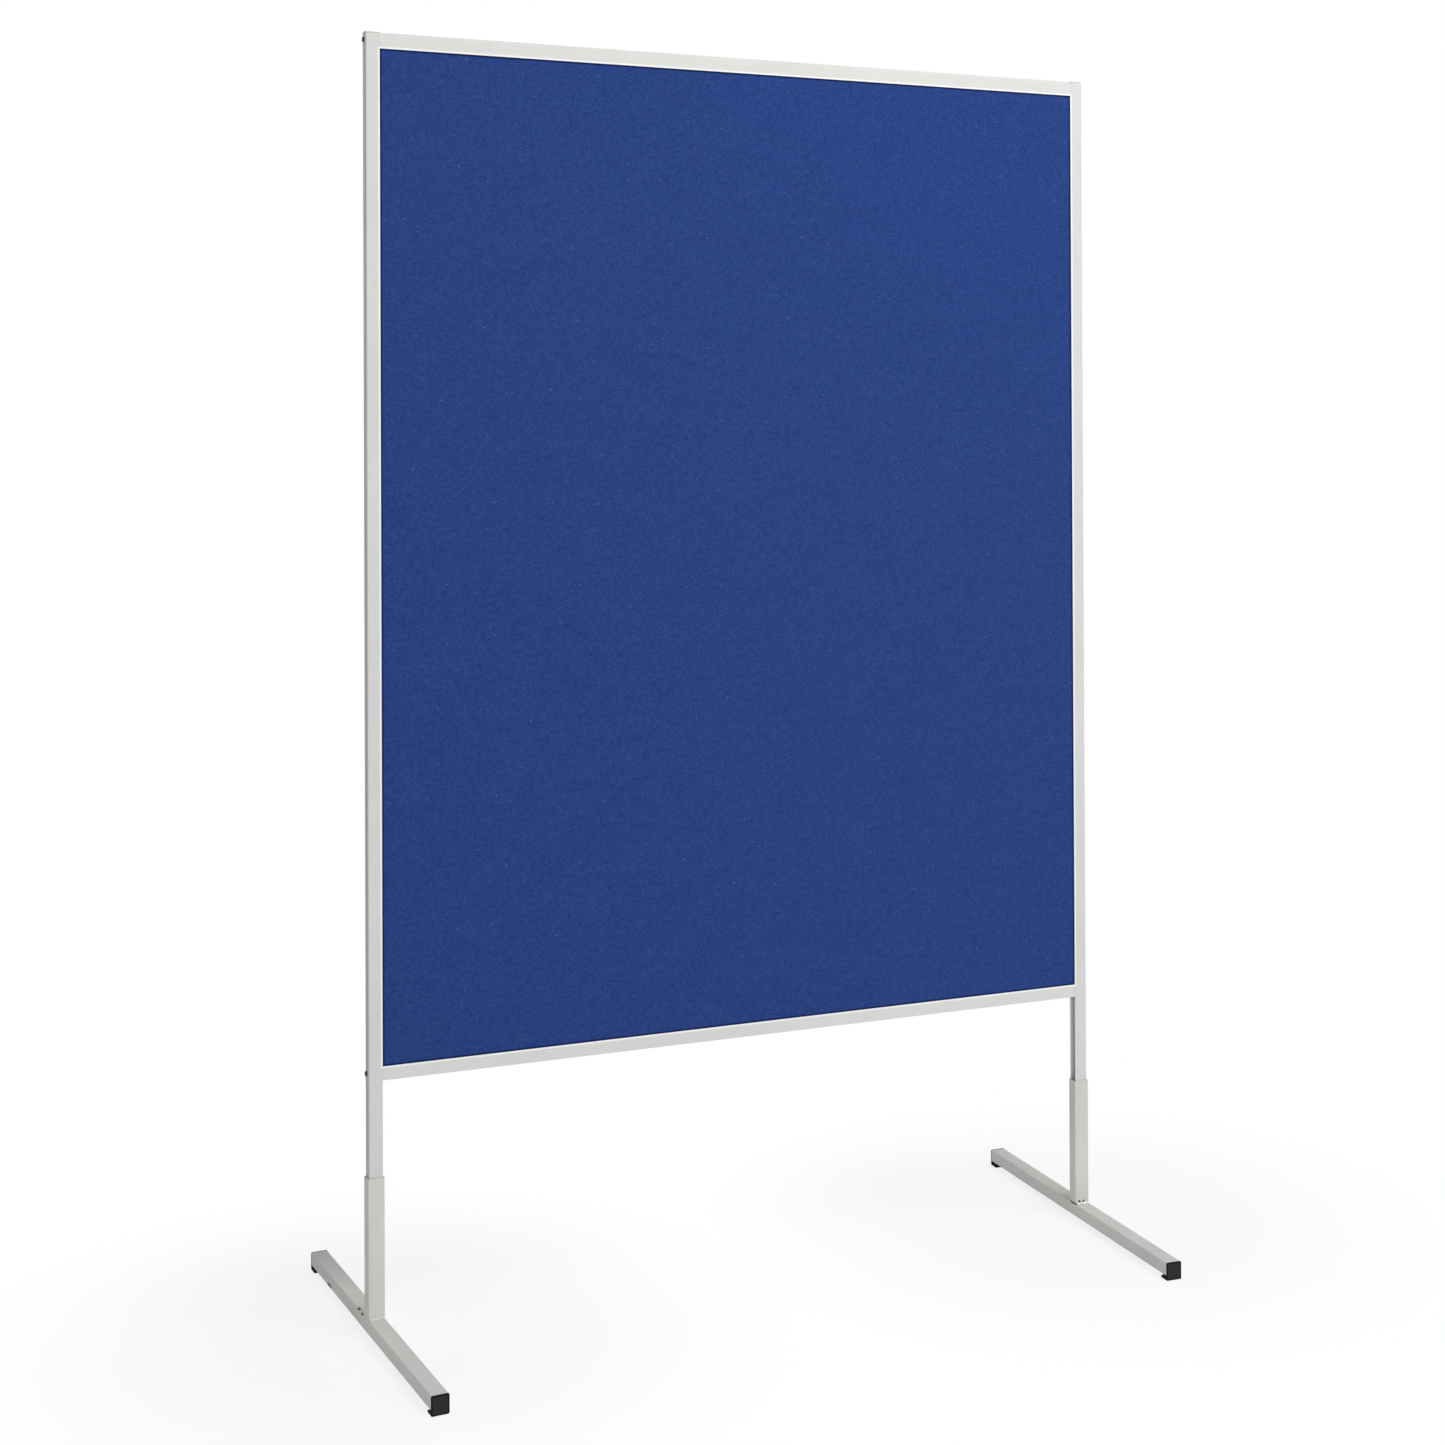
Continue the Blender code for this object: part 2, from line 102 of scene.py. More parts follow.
# Screws
SHANK_DIAMETER = 0.0039
SCREW_POINT = 0.003
HEAD_DIAMETER = 0.0075
HEAD_HEIGHT = 0.0024
HEAD_RIM = 0.0009
CROSS_LENGTH = 0.0039
CROSS_WIDTH = 0.001
CROSS_DEPTH = 0.0014
CROSS_TAPER_SHARE = 0.55
CROWN_FLAT_SHARE = 0.62
SCREW_STEPS = 24

# Top caps
TOP_CAP_PLATE = 0.0012
TOP_CAP_WALL = 0.0013
TOP_CAP_ROUND = 0.0005

# Foot tubes
TUBE_WIDTH = 0.025
TUBE_THICKNESS = 0.020
TUBE_WALL = 0.0012
TUBE_CORNER = 0.002
MOUTH_ROUND = 0.0003
FOOT_LENGTH = 0.575

# Weld beads: even ripples on a slower swell, thinner towards both ends
BEAD_LEG = 0.0031
BEAD_RIPPLE_SHARE = 0.10
BEAD_PITCH = 0.0024
BEAD_SWELLS = 2.3
BEAD_SWELL_SHARE = 0.35
BEAD_STEPS_PER_RIPPLE = 10
BEAD_ARC_STEPS = 8
BEAD_BULGE_SHARE = 0.86
BEAD_END_SHARE = 0.45
BEAD_END_STEEPNESS = 3.2

# End caps
PLATE_THICKNESS = 0.0015
PLATE_MARGIN = 0.0003
PLATE_CORNER = 0.0024
PLATE_EDGE = 0.0005
RIM_WIDTH = 0.002
RIM_SLOPE = 0.00025
RIM_DEPTH = 0.0004
SOLE_LIFT = 0.007
SOLE_LENGTH = 0.015
PAD_HEIGHT = 0.0038
PAD_CORNER = 0.0014
NECK_INSET = 0.002
PLUG_LENGTH = 0.018
PLUG_WALL = 0.0014
RIB_HEIGHT = 0.0007
RIB_LENGTH = 0.0024
RIB_PITCH = 0.0044
RIB_COUNT = 3
RUB_START = 0.0003
RUB_END = 0.0035
RUB_SHARE = 0.5

# Construction
GAP = 0.0003
JOINT_CLOSED = 0.0002  # how far each end of a rail closes its joint
MERGE = 0.000002
ALONG_SHARE = 0.999  # an edge runs along an axis if this share of its length does
FACING_SHARE = 0.9  # a face looks along an axis if this share of its normal does
MOSTLY_SHARE = 0.5
ROUND_STEPS = 8
FINE_STEPS = 4
SMOOTH_ANGLE = math.radians(32)
X, Y, Z = range(3)
SIDES = {"left": -1, "right": 1}
ENDS = {"front": -1, "rear": 1}

# Wear on the feet's paint, with painted shade along the bars' lower edges and one joint, and painted
# glints on a weld. Each spot has its place, its reaches and its share
LOWER_EDGE_SHADE_HEIGHT = 0.0018
LOWER_EDGE_SHADE_SHARE = 0.6
PIT_SHARE = 0.85
SPOT_FULL = 1.1
SPOT_END = 1.5
CHIPS_AND_JOINT_SHADE = (
    ((-0.6020, 0.0395, 0.0270), (0.0030, 0.0062, 0.0030), 1.0),
    ((-0.6027, 0.0200, 0.0262), (0.0024, 0.0055, 0.0024), 0.9),
    ((-0.6112, 0.1871, 0.0092), (0.0040, 0.0140, 0.0046), 1.0),
    ((0.5873, 0.2104, 0.0261), (0.0024, 0.0024, 0.0024), 0.4),
    # Painted shade: a dark line in the gap where the right stem's inner side meets its bar.
    ((0.5768, -0.0012, 0.0272), (0.0024, 0.0150, 0.0020), 1.0),
    ((0.5833, -0.0110, 0.0312), (0.0030, 0.0026, 0.0026), 1.0),
    ((0.5912, -0.0112, 0.0312), (0.0025, 0.0026, 0.0021), 1.0),
)
# Painted highlights: near-white spots on the bead of the right foot's front weld.
PAINTED_WELD_GLINTS = (
    ((0.5924, -0.0130, 0.0284), (0.0042, 0.0026, 0.0024), 1.0),
    ((0.5806, -0.0126, 0.0282), (0.0026, 0.0024, 0.0022), 1.0),
)

# Light: lamps with their power in watts, their size and their place in metres
WHITE = (1, 1, 1, 1)
AMBIENT_STRENGTH = 0.33
LAMPS = {
    "softbox_right": (39, 2.4, (3.6, -4.4, 2.9)),
    "softbox_above": (104, 2.5, (1.4, -2.6, 4.6)),
    "softbox_front": (62, 2.5, (-0.6, -6.4, 2.2)),
    "softbox_rear": (50, 2.5, (-2.2, 5.6, 2.6)),
}
LIGHT_AIM = (0.0, 0.0, 1.0)
FLOOR_SIZE = 60
FLOOR_SHADOW_SHARE = 0.2
SHADOW_NEAR = 0.15
SHADOW_FAR = 0.65

# The sockets of a Mix node that blends colours
FIRST_COLOUR = 6
SECOND_COLOUR = 7
MIXED_COLOUR = 2

record = frame["record"]
BODY_OF = {node: body for body, nodes in record["behaviour"]["bodies"].items() for node in nodes}
SOLES = {mount["name"]: Vector(mount["pos_m"]) for mount in record["mounts"]}


def colour(red, green, blue):
    """Linear colour from screen levels, 0 to 255."""
    shares = [level / 255 for level in (red, green, blue)]
    light = [s / 12.92 if s <= 0.04045 else ((s + 0.055) / 1.055) ** 2.4 for s in shares]
    return (*light, 1.0)


class Value:
    """A socket in some shading; sums on it add Math nodes there."""

    def __init__(self, shading, socket):
        self.shading = shading
        self.socket = socket

    def calculate(self, operation, *values):
        return self.shading.node("ShaderNodeMath", {"operation": operation}, dict(enumerate(values)))

    def __add__(self, other):
        return self.calculate("ADD", self, other)

    def __sub__(self, other):
        return self.calculate("SUBTRACT", self, other)

    def __rsub__(self, other):
        return self.calculate("SUBTRACT", other, self)

    def __mul__(self, other):
        return self.calculate("MULTIPLY", self, other)

    __radd__ = __add__
    __rmul__ = __mul__

    def __abs__(self):
        return self.calculate("ABSOLUTE", self)

    def greatest(self, other):
        return self.calculate("MAXIMUM", self, other)

    def least(self, other):
        return self.calculate("MINIMUM", self, other)

    def rise(self, start, end):
        """Ease from 0 to 1 as the value goes from start to end."""
        values = {"Value": self, "From Min": start, "From Max": end}
        return self.shading.node("ShaderNodeMapRange", {"interpolation_type": "SMOOTHSTEP"}, values)


class Shading:
    """The nodes of a material or of the world, which end in an output of their own type."""

    def __init__(self, owner, output_type):
        owner.use_nodes = True
        self.tree = owner.node_tree
        self.tree.nodes.clear()
        self.output_type = output_type

    def add(self, kind, settings, values):
        """Add a node: its settings first, then the values or links of its sockets."""
        made = self.tree.nodes.new(kind)
        for name, setting in settings.items():
            setattr(made, name, setting)
        for name, value in values.items():
            if isinstance(value, Value):
                self.tree.links.new(value.socket, made.inputs[name])
            else:
                made.inputs[name].default_value = value
        return made

    def node(self, kind, settings=None, values=None, output=0):
        """Add a node and take one of its outputs."""
        made = self.add(kind, settings or {}, values or {})
        return Value(self, made.outputs[output])

    def show(self, shader):
        """Show a shader on what owns the nodes."""
        self.add(self.output_type, {}, {"Surface": shader})

    def white_rays(self):
        """1 for rays that see a white studio: from the camera, in a gloss and through glass."""
        names = ("Is Camera Ray", "Is Glossy Ray", "Is Transmission Ray")
        seen, in_gloss, through = (self.node("ShaderNodeLightPath", output=name) for name in names)
        return seen.greatest(in_gloss).greatest(through)


class Finish(Shading):
    """One procedural material, whose patterns lie in object coordinates."""

    def __init__(self, name):
        self.material = bpy.data.materials.new(name)
        super().__init__(self.material, "ShaderNodeOutputMaterial")
        self.place = self.node("ShaderNodeTexCoord", output="Object")

    def stretched(self, shares, turn=(0, 0, 0)):
        """The place, squeezed along each axis by a share and turned about each axis."""
        values = {"Vector": self.place, "Rotation": turn, "Scale": shares}
        return self.node("ShaderNodeMapping", {}, values)

    def noise(self, place, scale, detail=3.0, roughness=0.5):
        """Cloudy noise, about so many spots to the metre."""
        values = {"Vector": place, "Scale": scale, "Detail": detail, "Roughness": roughness}
        return self.node("ShaderNodeTexNoise", {}, values)

    def along(self, axis):
        """The place along one axis."""
        return self.node("ShaderNodeSeparateXYZ", {}, {"Vector": self.place}, axis)

    def specks(self, place, scale, size, dimensions="3D"):
        """Scattered round specks, one in each cell, fading out at a share of the cell's size."""
        settings = {"voronoi_dimensions": dimensions}
        values = {"Vector": place, "Scale": scale}
        distance = self.node("ShaderNodeTexVoronoi", settings, values, "Distance")
        return 1 - distance.rise(size / 3, size)

    def near(self, centre, reaches):
        """A spot round a point, as long as its reach along each axis, with a frayed edge."""
        values = {0: self.place, 1: centre}
        offset = self.node("ShaderNodeVectorMath", {"operation": "SUBTRACT"}, values)
        share = self.node("ShaderNodeVectorMath", {"operation": "DIVIDE"}, {0: offset, 1: reaches})
        distance = self.node("ShaderNodeVectorMath", {"operation": "LENGTH"}, {0: share}, "Value")
        frayed = distance + self.noise(self.place, scale=1400, detail=2.0)
        return 1 - frayed.rise(SPOT_FULL, SPOT_END)

    def mix(self, share, first, second):
        """Blend two colours."""
        values = {0: share, FIRST_COLOUR: first, SECOND_COLOUR: second}
        return self.node("ShaderNodeMix", {"data_type": "RGBA"}, values, MIXED_COLOUR)

    def spotted(self, paint, spots, tone):
        """Paint with spots of another tone."""
        for centre, reaches, share in spots:
            paint = self.mix(self.near(centre, reaches) * share, paint, tone)
        return paint

    def relief(self, height, depth):
        """Normals of a surface that a height from 0 to 1 raises by a depth in metres."""
        values = {"Height": height, "Distance": depth, "Strength": 1.0}
        return self.node("ShaderNodeBump", {}, values)

    def surface(self, **values):
        """Finish with a Principled surface, whose sockets are named with _ for a space."""
        named = {name.replace("_", " "): value for name, value in values.items()}
        self.show(self.node("ShaderNodeBsdfPrincipled", {}, named))
        return self.material


def panel_window():
    """The panel's visible window: half its width, its sill's height and its lintel's height."""
    half_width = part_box("right_upright")[0].x
    return half_width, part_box("bottom_rail")[1].z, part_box("top_rail")[0].z


def inside_window(finish):
    """How far inside the panel's visible window a place is, less than 0 on the frame."""
    half_width, sill, lintel = panel_window()
    height = finish.along("Z")
    return (half_width - abs(finish.along("X"))).least(height - sill).least(lintel - height)


def satin_frame(name, die_lines, darker, lighter):
    """Light grey satin aluminium with faint die lines, painted reflection and painted shade in the
    groove, a painted highlight on the lips and painted shade on the outer sides.
    """
    finish = Finish(name)
    lines = finish.noise(finish.stretched(die_lines), scale=900, roughness=0.6)
    cloud = finish.noise(finish.place, scale=7)
    grit = finish.noise(finish.place, scale=2600, detail=2.0)
    tone = lines * 0.35 + cloud * 0.4 + grit * 0.25
    satin = finish.mix(tone.rise(0.3, 0.7), darker, lighter)

    low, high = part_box("right_upright")
    across = abs(finish.along("X"))
    # Painted shade: the uprights' outer sides and outer edges are painted darker.
    shaded_outer_side = across.rise(high.x - 2 * FRAME_WALL, high.x - FRAME_WALL / 2)
    satin = finish.mix(shaded_outer_side * OUTER_SIDE_SHADE_SHARE, satin, colour(186, 187, 183))

    wall_middle = high.y - FRAME_WALL / 2
    fade = FRAME_WALL * WALL_FADE_SHARE
    under_lip = 1 - abs(finish.along("Y")).rise(wall_middle - fade, wall_middle + fade)
    before_chamber = 1 - across.rise(high.x - 4 * FRAME_WALL, high.x - 3 * FRAME_WALL)
    groove = under_lip * before_chamber
    # Painted reflection: the groove's walls are painted lighter and bluish from about a millimetre in.
    groove_reflection = across.rise(low.x + GROOVE_REFLECTION_START, low.x + GROOVE_REFLECTION_END)
    # Painted shade: the groove's deep end is painted dark.
    groove_shade = across.rise(low.x + GROOVE_SHADE_START, low.x + GROOVE_SHADE_END)
    satin = finish.mix(groove * groove_reflection, satin, colour(240, 244, 248))
    satin = finish.mix(groove * groove_shade, satin, colour(104, 107, 110))

    # Painted highlight: a near-white band along the lips' inner edges.
    half_highlight = LIP_HIGHLIGHT_WIDTH / 2
    lip_highlight_band = 1 - abs(inside_window(finish) + half_highlight).rise(half_highlight, LIP_HIGHLIGHT_WIDTH)
    lightened = lip_highlight_band * (1 - under_lip) * LIP_HIGHLIGHT_SHARE
    return finish.surface(
        Base_Color=finish.mix(lightened, satin, colour(248, 249, 247)),
        Roughness=0.55 + 0.12 * lines,
        Specular_IOR_Level=0.18,
        Normal=finish.relief(lines * 0.7 + grit * 0.3, depth=0.00002),
    )


def painted_tube(name):
    """Light grey powder coat: fine peel, mottling and chips, with painted shade along the bars' lower
    edges and one joint.
    """
    finish = Finish(name)
    peel = finish.noise(finish.place, scale=520, detail=2.0)
    grit = finish.noise(finish.place, scale=2400, detail=2.0)
    cloud = finish.noise(finish.place, scale=11)
    tone = (cloud * 0.6 + grit * 0.4).rise(0.32, 0.68)
    paint = finish.mix(tone, colour(208, 210, 205), colour(218, 219, 214))
    # Painted shade: the bars' lowest two millimetres or so are painted darker.
    lower_edge_shade = 1 - finish.along("Z").rise(SOLE_LIFT + LOWER_EDGE_SHADE_HEIGHT / 2, SOLE_LIFT + LOWER_EDGE_SHADE_HEIGHT)
    paint = finish.mix(lower_edge_shade * LOWER_EDGE_SHADE_SHARE, paint, colour(142, 143, 140))
    return finish.surface(
        Base_Color=finish.spotted(paint, CHIPS_AND_JOINT_SHADE, colour(40, 40, 38)),
        Roughness=0.52 + 0.1 * cloud,
        Specular_IOR_Level=0.2,
        Normal=finish.relief(peel * 0.8 + grit * 0.2, depth=0.00005),
    )


def painted_weld(name):
    """The same paint where it flowed over a weld: shinier, with small dark pits and painted glints."""
    finish = Finish(name)
    peel = finish.noise(finish.place, scale=700, detail=2.0)
    pits = finish.specks(finish.place, scale=330, size=0.34)
    paint = finish.mix(peel, colour(208, 210, 208), colour(222, 223, 221))
    paint = finish.mix(pits * PIT_SHARE, paint, colour(88, 90, 92))
    # Painted highlights on the bead.
    paint = finish.spotted(paint, PAINTED_WELD_GLINTS, colour(252, 253, 253))
    return finish.surface(
        Base_Color=finish.spotted(paint, CHIPS_AND_JOINT_SHADE, colour(40, 40, 38)),
        Roughness=0.22 + 0.12 * peel,
        Coat_Weight=0.8,
        Coat_Roughness=0.08,
        Normal=finish.relief(peel - pits, depth=0.00008),
    )


def grey_plastic(name):
    """Moulded light grey plastic with a fine spark-eroded grain."""
    finish = Finish(name)
    grain = finish.noise(finish.place, scale=2200)
    return finish.surface(
        Base_Color=finish.mix(grain, colour(206, 208, 205), colour(216, 217, 214)),
        Roughness=0.5 + 0.12 * grain,
        Normal=finish.relief(grain, depth=0.00003),
    )


def black_plastic(name, dark, light, roughness, gloss):
    """Moulded black plastic with a low gloss, dusty and rubbed where it nears the floor."""
    finish = Finish(name)
    grain = finish.noise(finish.place, scale=1900)
    patches = finish.noise(finish.place, scale=420, detail=4.0).rise(0.45, 0.7)
    lightened = (1 - finish.along("Z").rise(RUB_START, RUB_END)) * patches
    black = finish.mix(grain, dark, light)
    return finish.surface(
        Base_Color=finish.mix(lightened * RUB_SHARE, black, colour(92, 90, 85)),
        Roughness=roughness + 0.14 * grain + 0.2 * lightened,
        Specular_IOR_Level=gloss,
        Normal=finish.relief(grain, depth=0.00004),
    )


def plated_steel(name, plated, lightened):
    """Plated steel, rubbed brighter in patches."""
    finish = Finish(name)
    wear = finish.noise(finish.place, scale=900).rise(0.45, 0.75)
    return finish.surface(
        Base_Color=finish.mix(wear, plated, lightened),
        Roughness=0.34 + 0.16 * wear,
        Metallic=0.9,
        Normal=finish.relief(wear, depth=0.00002),
    )


def soft_fibreboard(name):
    """Light brown soft board of pressed wood fibres."""
    finish = Finish(name)
    fibres = finish.noise(finish.stretched((0.3, 1, 1)), scale=700, detail=5.0, roughness=0.65)
    cloud = finish.noise(finish.place, scale=60)
    tone = fibres * 0.7 + cloud * 0.3
    return finish.surface(
        Base_Color=finish.mix(tone, colour(132, 108, 78), colour(184, 162, 128)),
        Roughness=0.88 + 0.1 * fibres,
        Normal=finish.relief(fibres, depth=0.0002),
    )


def blue_felt(name):
    """Needled blue felt: tangled fibres that lie mostly sideways, and scattered pale lint."""
    finish = Finish(name)
    lying_place = finish.stretched((0.16, 1, 1))
    slanted_place = finish.stretched((0.2, 1, 1), (0, math.radians(35), 0))
    rising_place = finish.stretched((0.2, 1, 1), (0, math.radians(-50), 0))
    lying = finish.noise(lying_place, scale=1100, roughness=0.6)
    slanted = finish.noise(slanted_place, scale=900, roughness=0.6)
    rising = finish.noise(rising_place, scale=900, roughness=0.6)
    tufts = finish.noise(finish.stretched((0.7, 1, 1)), scale=400, detail=2.0)
    cloud = finish.noise(finish.stretched((0.5, 1, 1)), scale=18)
    fibres = lying * 0.45 + slanted * 0.275 + rising * 0.275
    tone = (fibres * 0.35 + tufts * 0.6 + cloud * 0.05).rise(0.3, 0.7)
    blue = finish.mix(tone, colour(27, 53, 117), colour(47, 74, 137))
    # Painted shade from the lips, and the felt's pressed edge: darker within a few millimetres of the
    # window's edge.
    pressed_and_shaded_border = 1 - inside_window(finish).rise(PRESSED_AND_SHADED_FULL, PRESSED_AND_SHADED_END)
    blue = finish.mix(pressed_and_shaded_border * PRESSED_AND_SHADED_SHARE, blue, colour(10, 26, 78))
    flat = finish.stretched((0.6, 1, 1), (math.radians(90), 0, 0))
    lint = finish.specks(flat, scale=22, size=0.03, dimensions="2D") * cloud.rise(0.35, 0.6)
    return finish.surface(
        Base_Color=finish.mix(lint * LINT_SHARE, blue, colour(132, 150, 190)),
        Roughness=0.9 + 0.08 * fibres,
        Normal=finish.relief(fibres * 0.6 + tufts * 0.4, depth=0.00035),
        Sheen_Weight=0.03,
        Sheen_Roughness=0.5,
        Specular_IOR_Level=0.15,
    )


def rounded(bm, edges, radius, steps=FINE_STEPS):
    """Round edges with an arc of so many steps."""
    bmesh.ops.bevel(bm, geom=edges, offset=radius, segments=steps, profile=0.5,
                    affect="EDGES", material=-1, clamp_overlap=True)


def edges_along(bm, axis):
    """The edges that run along one axis."""
    ways = [(edge, edge.verts[1].co - edge.verts[0].co) for edge in bm.edges]
    return [edge for edge, way in ways if abs(way[axis]) > ALONG_SHARE * way.length]


def edges_at(bm, axis, place):
    """The edges that lie in a plane across one axis."""
    return [edge for edge in bm.edges
            if all(abs(vert.co[axis] - place) < MERGE for vert in edge.verts)]


def rims_at(bm, axis, place):
    """The edges in a plane across one axis where the sides turn into that plane."""
    bm.normal_update()
    return [edge for edge in edges_at(bm, axis, place)
            if len({abs(face.normal[axis]) > MOSTLY_SHARE for face in edge.link_faces}) == 2]


def verts_of(geometry):
    """The vertices in what an operator returns."""
    return [item for item in geometry if isinstance(item, bmesh.types.BMVert)]


def face_towards(bm, axis, sign):
    """The one largest face that looks along an axis."""
    bm.normal_update()
    facing = [face for face in bm.faces if sign * face.normal[axis] > FACING_SHARE]
    return max(facing, key=lambda face: face.calc_area())


def block(low, high):
    """A box between two corners."""
    bm = bmesh.new()
    low, high = Vector(low), Vector(high)
    bmesh.ops.create_cube(bm, size=1)
    bmesh.ops.scale(bm, vec=high - low, verts=bm.verts[:])
    bmesh.ops.translate(bm, vec=(low + high) / 2, verts=bm.verts[:])
    return bm


def joined(*meshes):
    """Several shells in one mesh."""
    whole = meshes[0]
    for bm in meshes[1:]:
        carrier = bpy.data.meshes.new("carrier")
        bm.to_mesh(carrier)
        bm.free()
        whole.from_mesh(carrier)
        bpy.data.meshes.remove(carrier)
    return whole


def faced(sign):
    """The turn from the left or the front, where a piece is drawn, to its own side or end."""
    return Matrix.Rotation(math.radians(180) if sign > 0 else 0, 4, "Z")


def finished(node, bm, *finishes):
    """Make a mesh the piece that stands for a node: on its body, in its place."""
    bmesh.ops.remove_doubles(bm, verts=bm.verts[:], dist=MERGE)
    bmesh.ops.recalc_face_normals(bm, faces=bm.faces[:])
    mesh = bpy.data.meshes.new(node)
    bm.to_mesh(mesh)
    bm.free()
    mesh.shade_smooth()
    mesh.set_sharp_from_angle(angle=SMOOTH_ANGLE)
    for finish in finishes:
        mesh.materials.append(finish)
    piece = bpy.data.objects.new(f"{node}_finished", mesh)
    bpy.context.scene.collection.objects.link(piece)
    normals = piece.modifiers.new("flat_faces_stay_flat", "WEIGHTED_NORMAL")
    normals.keep_sharp = True
    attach(piece, BODY_OF[node])
    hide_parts(node)
    return piece


def mirrored(half):
    """Close a half section, drawn on the side y >= 0, with its mirror image."""
    return list(half) + [(x, -y, radius) for x, y, radius in reversed(half)]


def extrusion(sections, length):
    """Extrude sections along z from their corners, each (x, y, radius), the inner ones as holes."""
    bm = bmesh.new()
    for section in sections:
        corners = [bm.verts.new((x, y, 0)) for x, y, _ in section]
        wire = [bm.edges.new(pair) for pair in zip(corners, corners[1:] + corners[:1])]
        drawn = bmesh.ops.extrude_edge_only(bm, edges=wire)["geom"]
        bmesh.ops.translate(bm, verts=verts_of(drawn), vec=(0, 0, length))
        for radius in sorted({corner[2] for corner in section} - {0}):
            alike = [vert for vert, corner in zip(corners, section) if corner[2] == radius]
            long_edges = [edge for vert in alike for edge in vert.link_edges
                          if edge.other_vert(vert).co.z > MERGE]
            rounded(bm, long_edges, radius, ROUND_STEPS)
    for end in (0, length):
        rim = [edge for edge in edges_at(bm, Z, end) if edge.is_boundary]
        bmesh.ops.triangle_fill(bm, edges=rim, use_beauty=True)
    bmesh.ops.recalc_face_normals(bm, faces=bm.faces[:])
    return bm


def set_upright(bm, node, sign):
    """Stand what is drawn from an upright's outer side inwards in its node's place."""
    low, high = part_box(node)
    place = Matrix.Translation((low.x if sign < 0 else high.x, 0, low.z))
    bmesh.ops.transform(bm, matrix=place @ faced(sign), verts=bm.verts[:])


def make_uprights(finish):
    """Uprights: a rounded outer side, a hollow chamber and the groove that holds the panel."""
    for side, sign in SIDES.items():
        node = f"{side}_upright"
        low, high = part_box(node)
        width = high.x - low.x
        half = high.y
        groove = half - FRAME_WALL
        floor = width - UPRIGHT_GROOVE
        outline = mirrored((
            (0, half, UPRIGHT_CORNER), (width, half, LIP_ROUND),
            (width, groove, LIP_ROUND), (floor, groove, CREASE_ROUND),
        ))
        chamber = mirrored((
            (FRAME_WALL, groove, UPRIGHT_CORNER - FRAME_WALL),
            (floor - FRAME_WALL, groove, CREASE_ROUND),
        ))
        bm = extrusion((outline, chamber), high.z - low.z)
        set_upright(bm, node, sign)
        finished(node, bm, finish)


def make_rail(node, edge, chamber_edge, place, turn, finish):
    """A rail: its own outer edge, then the walls, the chamber and the groove that both rails share."""
    low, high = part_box(node)
    height = high.z - low.z
    half = high.y
    groove = half - FRAME_WALL
    floor = height - RAIL_GROOVE
    outline = edge + ((height, half, LIP_ROUND), (height, groove, LIP_ROUND),
                      (floor, groove, CREASE_ROUND))
    chamber = chamber_edge + ((floor - FRAME_WALL, groove, CREASE_ROUND),)
    bm = extrusion((mirrored(outline), mirrored(chamber)), high.x - low.x + 2 * JOINT_CLOSED)
    drawn_back = Matrix.Translation((0, 0, -JOINT_CLOSED))
    set_place = Matrix.Translation(place) @ Matrix.Rotation(turn, 4, "Y") @ drawn_back
    bmesh.ops.transform(bm, matrix=set_place, verts=bm.verts[:])
    finished(node, bm, finish)


def make_rails(finish):
    """The plain bottom rail, and the top rail with its narrower strip along the upper edge."""
    low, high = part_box("bottom_rail")
    half = high.y
    edge = ((0, half, RAIL_CORNER),)
    chamber_edge = ((FRAME_WALL, half - FRAME_WALL, CREASE_ROUND),)
    make_rail("bottom_rail", edge, chamber_edge, (high.x, 0, low.z), math.radians(-90), finish)

    low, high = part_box("top_rail")
    half = high.y
    strip = half - STRIP_SETBACK
    edge = ((0, strip, RAIL_CORNER), (STRIP_HEIGHT, strip, CREASE_ROUND),
            (STRIP_HEIGHT, half, SHOULDER_ROUND))
    step = STRIP_HEIGHT + STRIP_SETBACK + FRAME_WALL
    chamber_edge = ((FRAME_WALL, strip - FRAME_WALL, CREASE_ROUND), (step, strip - FRAME_WALL, 0),
                    (step + CREASE_ROUND, half - FRAME_WALL, 0))
    make_rail("top_rail", edge, chamber_edge, (low.x, 0, high.z), math.radians(90), finish)


def make_felts(finish):
    """Felt on both faces: pressed flat under the frame's lips, swelling softly inside them."""
    half_width, sill, lintel = panel_window()
    for end, sign in ENDS.items():
        node = f"{end}_felt"
        low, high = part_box(node)
        bm = block(low, high)
        rounded(bm, edges_along(bm, X) + edges_along(bm, Z), FELT_EDGE)
        face = face_towards(bm, Y, sign)
        bmesh.ops.inset_region(bm, faces=[face], thickness=FELT_EDGE, use_even_offset=True)
        for vert in face.verts:
            vert.co.x = math.copysign(half_width, vert.co.x)
            vert.co.z = lintel if vert.co.z > (sill + lintel) / 2 else sill
        for step in range(SWELL_STEPS):
            rises = [math.sin(math.radians(90) * (step + i) / SWELL_STEPS) for i in (0, 1)]
            bmesh.ops.inset_region(bm, faces=[face], thickness=SWELL_WIDTH / SWELL_STEPS,
                                   depth=SWELL_HEIGHT * (rises[1] - rises[0]), use_even_offset=True)
        piece = finished(node, bm, finish)


def screw_profile(length):
    """Half outline of a pan-head screw, from its point up to the flat of its crown."""
    shank = SHANK_DIAMETER / 2
    head = HEAD_DIAMETER / 2
    outline = [(0, -length), (shank, SCREW_POINT - length), (shank, 0), (head, 0), (head, HEAD_RIM)]
    crown_turn = math.acos(CROWN_FLAT_SHARE)
    for step in range(1, ROUND_STEPS + 1):
        turn = crown_turn * step / ROUND_STEPS
        rise = (HEAD_HEIGHT - HEAD_RIM) * math.sin(turn) / math.sin(crown_turn)
        outline.append((head * math.cos(turn), HEAD_RIM + rise))
    return outline


